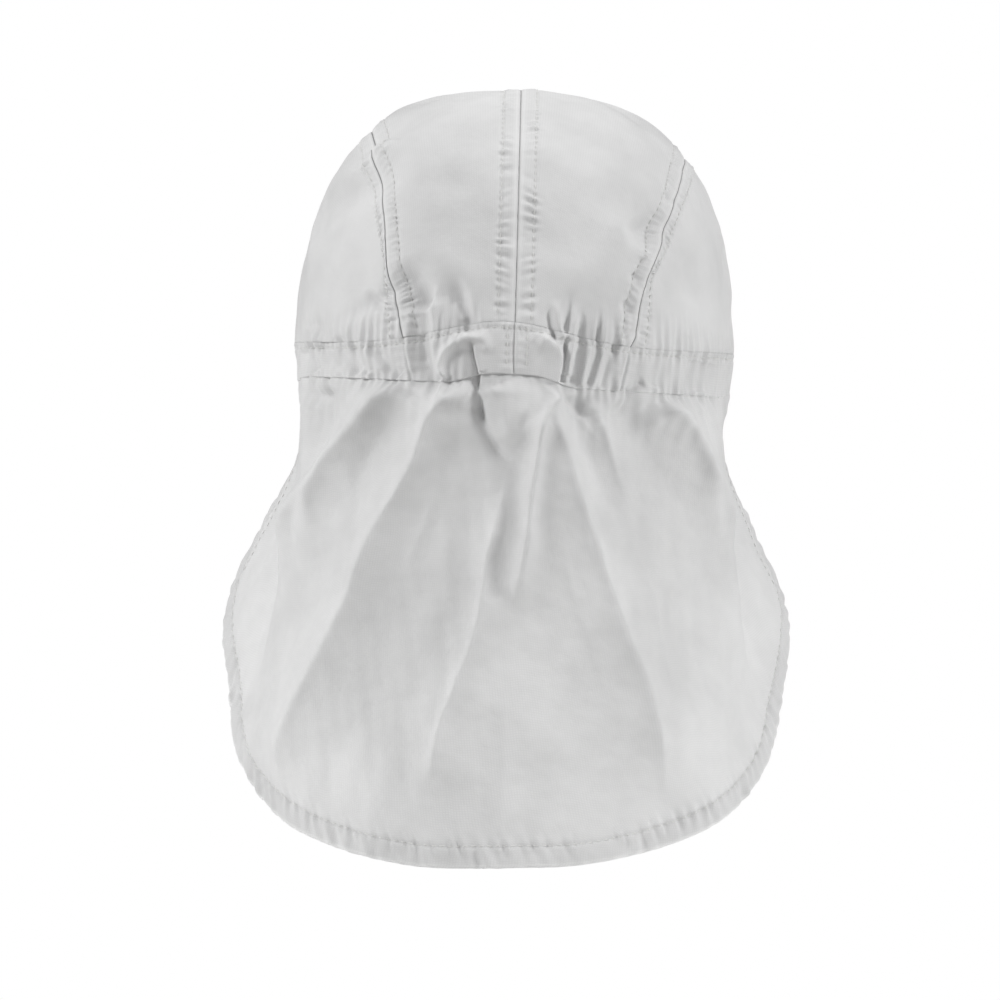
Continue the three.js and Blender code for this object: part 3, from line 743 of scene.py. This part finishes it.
def elasticCasing():
    turn = np.linspace(-math.pi, math.pi, casing["columns"], endpoint=False)[:, None]
    v = crowded(casing["rows"], 0.1)[None]
    top, bottom = casingTop(turn), rimHeight(turn)
    z = mix(top, bottom, v)
    point = rimOval(turn, z)
    waves = casingWaves(turn, point, v) + 0.3 * mm * rippleField(point, 9 * mm, 31, (1, 1, 1.6))
    swell = casing["swell"] * np.minimum(z / cap["casingHeight"], 1)
    fromTop, fromBottom = top - z, z - bottom
    fromStitches = fromTop - casing["stitchDrop"]
    proud = casing["edgeProud"] * bump(fromBottom / (4 * mm))
    waves = waves - 0.1 * mm * bump(fromTop / (0.8 * mm)) + proud
    waves = waves - casing["stitchPull"] * bump(fromStitches / (0.8 * mm))
    waves = waves + 0.2 * mm * rippleLine(turn * 90 * mm, 3.2 * mm, 12) * bump(fromStitches / (2.2 * mm))
    # worn along the folded rim; painted shade along the upper edge, where the crown meets the casing
    wearAndPaintedShade = 0.3 * bump(fromBottom / (0.7 * mm)) - 0.1 * bump(fromTop / (0.4 * mm)) + 0 * turn
    for place, side in seamTurns():
        reach = cap["rimHalfDepth"] * np.cos(place) ** 2 + cap["rimHalfWidth"] * np.sin(place) ** 2
        lean = side * np.sign(np.cos(place)) * casing["seamLean"] * fromTop
        fromSeam = np.abs((turn - place) * reach + lean)
        waves = waves - casing["seamGroove"] * bump(fromSeam / (0.7 * mm))
        waves = waves + 0.25 * mm * rippleLine(z, 4 * mm, 41) * bump((fromSeam - 3 * mm) / (3 * mm))
    tuck = roundedEdge(fromBottom, casing["foldRound"])
    outside = swell - casing["draw"] + waves
    outer = rimOval(turn, z, outside - tuck)
    inner = rimOval(turn, z, outside - cap["casingWall"] - proud + tuck)
    piece = clothPiece("elastic_casing_cloth", outer, inner, wearAndPaintedShade, ring=True)
    dress(piece, casingCloth, "casing_cloth", "elastic_casing")
    normals = gridNormals(outer, ring=True)
    around = rowAt(outer.swapaxes(0, 1), normals.swapaxes(0, 1), fromTop.T, casing["stitchDrop"])
    rows = [stitchRow(*(np.concatenate([part, part[:1]]) for part in around))]
    for place, _ in seamTurns()[:2]:
        for shift in casing["besideSeam"]:
            column = int(np.argmin(np.abs(turn[:, 0] - place - shift / cap["rimHalfWidth"])))
            rows.append(stitchRow(outer[column, 5:-3], normals[column, 5:-3]))
    return rows


threadPiece("thread_casing", elasticCasing(), "casing_cloth")
print("casing made")

# neck flap
flap = {
    "length": 177 * mm, "halfWidth": 106.5 * mm, "turn": math.radians(110),
    "foldDepth": 9 * mm, "hemWidth": 8 * mm, "rimCrowding": 0.65, "inset": 0.6 * mm,
    "cloth": 1.1 * mm, "hemExtra": 0.9 * mm, "edgeRound": 1.2 * mm,
    "columns": 481, "rows": 121, "hemRows": 18,
    "hemPucker": 0.42 * mm, "hemPuckerLength": 3.6 * mm,
    "hemRise": 0.3 * mm, "stitchPull": 0.35 * mm, "tucks": 0.8 * mm,
    "crumple": 0.35 * mm, "hemTilt": 3.5 * mm,
    "earHang": 0.22,                    # the share of its depth over which it hangs straight by the ears
    "sewnDepth": 0.045,                 # the share of its depth where the folds grow out of the sewn edge
}
ribs = {
    "turn": [0, 0.15, 0.3, 0.45, 0.6, 0.72, 0.84, 0.93, 1],
    "out": [0, 0.28, 0.545, 0.75, 0.876, 0.947, 0.98, 1, 0.947],
    "back": [1.03, 0.99, 0.87, 0.68, 0.44, 0.22, -0.02, -0.22, -0.38],
    "drop": [1, 0.995, 0.962, 0.91, 0.835, 0.745, 0.61, 0.5, 0.38],
    "flare": [1.5, 1.5, 1.5, 1.6, 2.0, 2.6, 3.0, 3.0, 3.0],
}
# The deep folds towards its front edges: rim, hem, bend, start, end, fade, right, left, height
sideFolds = [
    (0.56, 0.52, 1, 0, 0.3, 0.12, 0.05, 0.06, -0.35), (0.8, 0.82, 1, 0.05, 0.75, 0.3, 0.07, 0.08, -1.05),
    (-0.8, -0.84, 1, 0.05, 0.75, 0.3, 0.07, 0.08, -0.9),
]
# Folds seen from behind, row by row as lineRelief reads them
flapLines = [
    ([(397, 381), (377, 410), (353, 440), (336, 460), (321, 490), (301, 528), (284, 572), (271, 613),
      (260, 658), (256, 700)], 6.8, 7, 7, 0.02, 0.25),
    ([(404, 384), (395, 415), (376, 447), (352, 490), (335, 515), (318, 550)], -5, 7, 15, 0.05, 0.45),
    ([(303, 392), (300, 440), (298, 480), (296, 520), (292, 560)], 3.5, 2.5, 6, 0.1, 0.3),
    ([(291, 455), (287, 490), (283, 525), (277, 560)], -3.5, 6, 2.5, 0.25, 0.4),
    ([(723, 420), (724, 460), (724, 500), (724, 550)], 3.2, 6, 2.5, 0.3, 0.3),
    ([(731, 470), (736, 510), (742, 555)], -3.2, 2.5, 6, 0.25, 0.4),
    ([(497, 384), (503, 405), (511, 430), (518, 452)], 3.6, 6, 14, 0.02, 0.3),
    ([(322, 385), (326, 415), (322, 450), (312, 500)], -2.5, 5, 6, 0.1, 0.4),
    ([(471, 376), (455, 393), (437, 412), (429, 432), (420, 461), (408, 485), (394, 510), (372, 561),
      (360, 599), (338, 644), (320, 681), (297, 729), (282, 774), (271, 806)], 6.5, 15, 8, 0.03, 0.16),
    ([(476, 371), (478, 392), (480, 415), (482, 440)], -3.2, 4, 2.2, 0.02, 0.6),
    ([(460, 420), (452, 460), (440, 500), (425, 540), (408, 590)], -3, 10, 16, 0.2, 0.4),
    ([(480, 392), (482, 412), (489, 432), (501, 450), (516, 461)], -2.2, 3, 9, 0.1, 0.3),
    ([(559, 393), (549, 404), (541, 417), (537, 440), (535, 458), (530, 494), (526, 535), (521, 569),
      (513, 618)], 4.4, 3, 10, 0.02, 0.2),
    ([(510, 470), (499, 520), (489, 554), (484, 599), (472, 651), (457, 688), (443, 722),
      (435, 755), (424, 790)], 2.8, 5, 9, 0.15, 0.2),
    ([(562, 392), (553, 416), (562, 442), (573, 487), (588, 535), (599, 569), (611, 606), (625, 647),
      (640, 681), (648, 715), (659, 757), (668, 798)], 4.4, 7, 13, 0.12, 0.17),
    ([(568, 392), (575, 415), (584, 442), (599, 472), (612, 505), (630, 545)], -4, 5, 8, 0.05, 0.5),
    ([(586, 398), (603, 423), (612, 445), (622, 475)], 1.8, 4, 5, 0.1, 0.5),
    ([(615, 396), (629, 416), (648, 446), (670, 479), (692, 520), (700, 560), (698, 621), (708, 690),
      (719, 745)], -5, 15, 9, 0.05, 0.3),
    ([(657, 399), (678, 423), (696, 461), (708, 491), (717, 524), (724, 569), (732, 614), (736, 644),
      (740, 690)], 6.6, 8, 7, 0.05, 0.2),
    ([(697, 400), (701, 430), (706, 462)], 1, 1.8, 1.8, 0.1, 0.4),
    ([(706, 398), (710, 425), (714, 458)], 1.1, 1.8, 1.8, 0.1, 0.4),
    ([(716, 398), (718, 425), (720, 455)], 1, 1.8, 1.8, 0.1, 0.4),
    ([(345, 380), (340, 400), (333, 425)], 1.2, 2.5, 2.5, 0.1, 0.5),
    ([(425, 384), (418, 405), (405, 430)], 1, 3, 3, 0.1, 0.5),
    ([(640, 398), (652, 420), (668, 440)], 0.9, 3, 3, 0.1, 0.5),
]


# Thin crests along the same folds, where the cloth was creased
crestLines = [
    ([(397, 381), (376, 411), (352, 441), (335, 461), (320, 491), (300, 529), (283, 573), (270, 614),
      (260, 650), (255, 700)], 2.3, 2.6, 1.8, 0.02, 0.3),
    ([(471, 376), (455, 393), (437, 412), (428, 433), (419, 462), (407, 486), (393, 511), (371, 562),
      (359, 600), (337, 645), (319, 682), (297, 729), (280, 776), (270, 808)], 2.0, 2.6, 1.6, 0.02, 0.16),
    ([(477, 371), (478, 392), (481, 415), (487, 436)], -1.3, 1.4, 0.9, 0.02, 0.5),
    ([(480, 400), (482, 416), (489, 434), (501, 452), (516, 463), (530, 466)], -1.7, 2.2, 0.9, 0.1, 0.3),
    ([(559, 393), (549, 404), (541, 417), (537, 440), (535, 458), (530, 494), (526, 535), (521, 569),
      (515, 605)], 2.2, 1.2, 2.0, 0.02, 0.3),
    ([(553, 384), (558, 398), (553, 416), (562, 442), (573, 487), (588, 535), (599, 569), (611, 606),
      (625, 647), (640, 681), (648, 715), (659, 757), (668, 798)], 1.7, 1.6, 2.4, 0.05, 0.17),
    ([(541, 384), (548, 390), (555, 395)], 1.2, 1.0, 1.0, 0.1, 0.1),
    ([(508, 470), (498, 520), (488, 554), (483, 599), (471, 651), (456, 688), (443, 722),
      (435, 755), (424, 790)], 1.3, 1.5, 2.2, 0.2, 0.2),
    ([(657, 399), (678, 423), (696, 461), (708, 491), (717, 524), (724, 569), (732, 614),
      (737, 660)], 2.4, 1.8, 2.2, 0.05, 0.25),
    ([(586, 398), (603, 423), (612, 445), (622, 475), (634, 510)], 0.9, 1.5, 1.8, 0.1, 0.5),
    ([(440, 470), (430, 505), (415, 545), (400, 590)], 0.8, 1.6, 2.4, 0.3, 0.5),
    ([(350, 560), (330, 610), (310, 650), (290, 690)], 0.9, 1.8, 2.4, 0.3, 0.4),
    ([(560, 540), (575, 600), (596, 660), (607, 700)], 0.7, 1.8, 2.4, 0.3, 0.4),
    ([(640, 560), (660, 620), (672, 680), (690, 730)], 0.8, 2.0, 2.4, 0.3, 0.4),
]


# Edges where the back turns into the ear sides: they stand towards the back
cornerLines = [
    ([(302, 388), (300, 440), (299, 480), (298, 520), (293, 560)], 2.8, 1.4, 5.0, 0.06, 0.3),
    ([(294, 450), (292, 490), (290, 530), (286, 570)], -1.6, 5.0, 2.5, 0.25, 0.35),
    ([(720, 410), (722, 460), (722, 500), (723, 552)], 2.8, 5.0, 1.4, 0.1, 0.3),
    ([(728, 470), (729, 510), (731, 555)], -1.6, 2.5, 5.0, 0.25, 0.35),
]


def flapFold(share, v):
    total = 0
    for rim, hem, bend, start, end, fade, right, left, height in sideFolds:
        place = mix(rim, hem, v ** bend)
        width = np.where(share > place, left, right)
        rise = ease(v, start - 0.04, start + fade)
        fall = 1 - ease(v, end - fade - 0.1, end)
        total = total + height * bump((share - place) / width) * rise * fall
    return total


def flapAt(share, v):
    turn = share * flap["turn"]
    rimZ = rimHeight(turn) + 0.4 * mm
    top = rimOval(turn, rimZ, -flap["inset"])
    out = np.stack([np.sin(turn) / cap["rimHalfWidth"], np.cos(turn) / cap["rimHalfDepth"], 0 * turn], -1)
    out = out / np.linalg.norm(out, axis=-1, keepdims=True)
    rib = {key: readTable(ribs["turn"], ribs[key], np.abs(share)) for key in ("out", "back", "drop", "flare")}
    earSide = ease(np.abs(share), 0.76, 0.86)       # this part swings out to the front corner
    swing = np.clip((v - flap["earHang"]) / (1 - flap["earHang"]), 0, 1) ** 1.15
    spread = mix(v ** rib["flare"], swing, earSide)
    x = mix(top[..., 0], np.sign(share) * rib["out"] * flap["halfWidth"], spread)
    y = mix(top[..., 1], rib["back"] * cap["rimHalfDepth"], spread)
    tilt = flap["hemTilt"] * np.sin(-2.2 * share) * bump(share / 0.75)      # the hem hangs lower on the left
    z = mix(rimZ, -rib["drop"] * flap["length"] + tilt, v)
    flat = np.stack([x, y, z], -1)
    square = gridNormals(flat)
    seen = 1 - ease(np.abs(share), 0.58, 0.78)          # the picture's folds stay off the ear sides
    relief = flap["foldDepth"] * flapFold(share, v) + seen * lineRelief(flat, flapLines + crestLines)
    relief = mix(casingWaves(turn, rimOval(turn, rimZ), 1), relief, ease(v, 0.0, flap["sewnDepth"]))
    facing = ease(v, 0.02, 0.3)[..., None]          # below the rim the folds stand square to the cloth
    direction = mix(out, square, facing)
    direction = direction / np.linalg.norm(direction, axis=-1, keepdims=True)
    flat = flat + direction * relief[..., None]
    flat[..., 1] += seen * lineRelief(flat, cornerLines)
    return flat


def overHem(place, share):
    return np.minimum(place, 1) * (1 - share) + np.maximum(place - 1, 0) * share


def neckFlap():
    side, stitchLine = flap["hemRows"], flap["hemWidth"]
    hemSteps = 1 + crowded(side + 1, 0.06)[1:]
    sideColumns = np.concatenate([-hemSteps[::-1], np.linspace(-1, 1, flap["columns"] - 2 * side), hemSteps])
    rows = np.concatenate([np.linspace(0, 1, flap["rows"]) ** 1.15, hemSteps])
    sideHem = flap["hemWidth"] / (flap["turn"] * 0.5 * (cap["rimHalfWidth"] + cap["rimHalfDepth"]))
    hemShare = (np.sign(sideColumns) * overHem(np.abs(sideColumns), sideHem))[:, None]
    drop = flap["length"] * readTable(ribs["turn"], ribs["drop"], np.abs(hemShare))
    v = overHem(rows[None], flap["hemWidth"] / drop)
    share = hemShare * (1 - flap["rimCrowding"] * (1 - np.abs(hemShare)) * (1 - v) ** 2)
    base = flapAt(share, v)
    normals = gridNormals(base)
    fromBottom = lengthsDown(base[:, ::-1])[:, ::-1]
    across = lengthsAcross(base)
    fromSide = np.minimum(across, across[-1:] - across)
    fromEdge = np.minimum(fromBottom, fromSide)
    along = np.where(fromBottom < fromSide, across, fromBottom)
    turn = share * flap["turn"]
    fromStitches = fromEdge - stitchLine
    length = flap["hemPuckerLength"]
    pucker = rippleLine(along, length, 51) * bump(fromStitches / (3.6 * mm))
    pucker = pucker + rippleLine(along, 2.2 * length, 55) * bump((fromEdge - 0.3 * stitchLine) / (5 * mm))
    fromCorner = np.abs(fromBottom - fromSide)      # the turned corners lie flat
    relief = flap["hemPucker"] * pucker * ease(fromCorner, 3 * mm, 14 * mm)
    relief = relief - flap["stitchPull"] * bump(fromStitches / (1 * mm))
    relief = relief + flap["hemRise"] * (1 - ease(fromStitches, -1.2 * mm, 1.2 * mm))
    relief = relief + flap["crumple"] * rippleField(base, 24 * mm, 52, (1, 1, 1.5)) * ease(v, 0.05, 0.3)
    relief = relief + 0.16 * mm * rippleField(base, 9 * mm, 53)
    tucks = rippleLine(turn * 90 * mm, 7.5 * mm, 54) * bump(v / 0.11)
    relief = relief + flap["tucks"] * tucks * (0.2 + 0.5 * ease(np.abs(turn), 0.7, 1.1))
    relief = relief - 0.25 * mm * bump(v / 0.012)   # the seam under the casing
    outer = base + normals * relief[..., None]
    tuck = roundedEdge(fromEdge, flap["edgeRound"])
    hem = 1 - ease(fromStitches, -1.5 * mm, 1.5 * mm)
    thick = flap["cloth"] + flap["hemExtra"] * hem
    calm = 1 - ease(fromStitches, 2 * mm, 8 * mm)[..., None]    # no puckers on the hem's inner side
    inward = mix(gridNormals(outer), normals, calm)
    inner = outer - inward * (thick - tuck * thick / (2 * flap["edgeRound"]))[..., None]
    outer = outer - gridNormals(outer) * tuck[..., None] * 0.8
    # worn along the edges; painted shade over the doubled hem and a painted dark line along its stitches
    wearAndPaintedShade = 0.8 * bump(fromEdge / (0.8 * mm)) - 0.12 * hem - 0.15 * bump(fromStitches / (0.35 * mm))
    piece = clothPiece("neck_flap_cloth", outer, inner, wearAndPaintedShade)
    dress(piece, flapCloth, "flap_cloth", "neck_flap")
    normals = gridNormals(outer)
    hemRow = flap["rows"] - 1
    rows = [stitchRow(outer[part], normals[part]) for part in (
        np.s_[side:-side, hemRow], np.s_[side, :hemRow], np.s_[-side - 1, :hemRow])]
    stitches = threadPiece("thread_hem", rows, "flap_cloth")
    height, width = lengthsDown(base)[flap["columns"] // 2, -1], across[-1].max()
    area = np.linalg.norm(np.cross(np.gradient(base, axis=0), np.gradient(base, axis=1)), axis=2).sum()
    print("flap: %.3f m deep, %.3f m along the hem, %.4f square metres" % (height, width, area))


neckFlap()
print("neck flap made")

# peak
peakSize = {
    "reach": 62 * mm, "endReach": 9 * mm, "droop": 14 * mm, "arch": 15 * mm, "wall": 3 * mm,
    "inset": 1.5 * mm, "clearance": 10 * mm, "edgeRound": 1.5 * mm, "stitchPull": 0.35 * mm,
    "endRise": 0.5,             # the shorter it is towards its ends, the less it drops
    "rowsFromEdge": (3 * mm, 9.5 * mm, 16 * mm, 22.5 * mm, 29 * mm),   # rows of stitches hold the stiffener
}


def peak():
    rimRadius = (cap["rimHalfWidth"] + cap["rimHalfDepth"]) / 2
    peakTurn = math.pi - flap["turn"] - peakSize["clearance"] / rimRadius
    u, w = crowded(241, 0.02)[:, None], crowded(91, 0.05)[None]
    turn = math.pi + u * 2 * peakTurn - peakTurn
    u = u * 2 - 1
    root = rimOval(turn, 0, -peakSize["inset"])
    reach = mix(peakSize["endReach"], peakSize["reach"], np.maximum(np.cos(u * math.pi / 2), 0) ** 0.75)
    forwardX, forwardY = 0.3 * np.sin(turn), -1 + 0 * turn
    size = np.hypot(forwardX, forwardY)
    drop = peakSize["droop"] * w ** 1.6 + peakSize["arch"] * w * u * u
    drop = drop * (reach / peakSize["reach"]) ** peakSize["endRise"]
    outer = np.stack([root[..., 0] + w * reach * forwardX / size, root[..., 1] + w * reach * forwardY / size,
                      -drop - 0.1 * mm], -1)
    down = lengthsDown(outer)
    fromEdge = down[:, -1:] - down
    normals = gridNormals(outer)
    relief = 0.2 * mm * rippleField(outer, 16 * mm, 61)
    for row in peakSize["rowsFromEdge"]:
        relief = relief - peakSize["stitchPull"] * bump((fromEdge - row) / (0.9 * mm))
    relief = relief + 0.15 * mm * rippleLine(lengthsAcross(outer), 5 * mm, 62) * bump(fromEdge / (6 * mm))
    upper = outer + normals * relief[..., None]
    lower = upper - normals * (peakSize["wall"] + 2 * (relief - 0.1 * mm))[..., None]
    tuck = roundedEdge(fromEdge, peakSize["edgeRound"])[..., None]
    upper, lower = upper - normals * tuck, lower + normals * tuck
    wearAndPaintedShade = 0.9 * bump(fromEdge / (1 * mm))
    piece = clothPiece("peak_cloth", upper, lower, wearAndPaintedShade)
    dress(piece, crownCloth, "peak_cloth", "peak")
    normals = gridNormals(upper)
    stitches = []
    for row in peakSize["rowsFromEdge"]:
        inside = down[:, -1] > row + 2 * mm
        for grid, outward in ((upper, normals), (lower, -normals)):
            parts = [part[:, ::-1].swapaxes(0, 1) for part in (grid, outward)]
            stitches.append(stitchRow(*(part[inside] for part in rowAt(*parts, fromEdge[:, ::-1].T, row))))
    threadPiece("thread_peak", stitches, "peak_cloth")


peak()
print("peak made")

# floor and light
studio = {
    "floorColor": "#f5f5f4", "floorPatches": "#fafaf9", "floorHeight": -0.256, "floorRadius": 0.5,
    "skyStrength": 0.3,
    # direction the light comes from, strength, size in degrees
    "lamps": {
        "front": ((0.9, 0.5, 0.55), 1.6, 12),
        "leftSide": ((1.0, -0.2, 0.2), 0.55, 30),
        "rightSide": ((-1.0, 0.35, 0.35), 1.75, 14),
        "above": ((-0.1, 0.0, 1.0), 0.8, 40),
    },
}


def buildStudio():
    bpy.ops.mesh.primitive_circle_add(
        vertices=96, radius=studio["floorRadius"], fill_type="NGON", location=(0, 0, studio["floorHeight"]))
    floor = bpy.context.object
    floor.name = "floor"
    paint = bpy.data.materials.new("matt_white_floor_paint")     # rolled emulsion: flat and slightly uneven
    paint.use_nodes = True
    tree = paint.node_tree
    surface = tree.nodes["Principled BSDF"]
    surface.inputs["Roughness"].default_value = 0.9
    nap = addNode(tree, "ShaderNodeTexNoise", links={"Scale": 60.0, "Detail": 3})
    tint = addNode(tree, "ShaderNodeMix", {"data_type": "RGBA"}, {
        "Factor": nap.outputs["Fac"], "A": fromHex(studio["floorColor"]),
        "B": fromHex(studio["floorPatches"])})
    tree.links.new(tint.outputs["Result"], surface.inputs["Base Color"])
    floor.data.materials.append(paint)
    world = bpy.data.worlds.new("studio")
    world.use_nodes = True
    sky = world.node_tree
    sky.nodes.clear()
    path = addNode(sky, "ShaderNodeLightPath")
    light, backdrop = (
        addNode(sky, "ShaderNodeBackground", links={"Color": (1, 1, 1, 1), "Strength": strength})
        for strength in (studio["skyStrength"], 1))
    both = addNode(sky, "ShaderNodeMixShader", links={
        "Fac": path.outputs["Is Camera Ray"], 1: light.outputs["Background"],
        2: backdrop.outputs["Background"]})
    addNode(sky, "ShaderNodeOutputWorld", links={"Surface": both.outputs["Shader"]})
    bpy.context.scene.world = world
    for name, (source, strength, size) in studio["lamps"].items():
        lamp = bpy.data.lights.new(name, "SUN")
        lamp.energy = strength
        lamp.angle = math.radians(size)
        holder = bpy.data.objects.new(name, lamp)
        bpy.context.scene.collection.objects.link(holder)
        back = np.array(source) / np.linalg.norm(source)
        side = np.cross((0, 0, 1), back)
        side = side / np.linalg.norm(side)
        up = np.cross(back, side)
        holder.matrix_world = Matrix([
            [side[i], up[i], back[i], 0] for i in range(3)] + [[0, 0, 0, 1]])
    bpy.context.scene.view_settings.view_transform = "Standard"


buildStudio()
print("studio made")
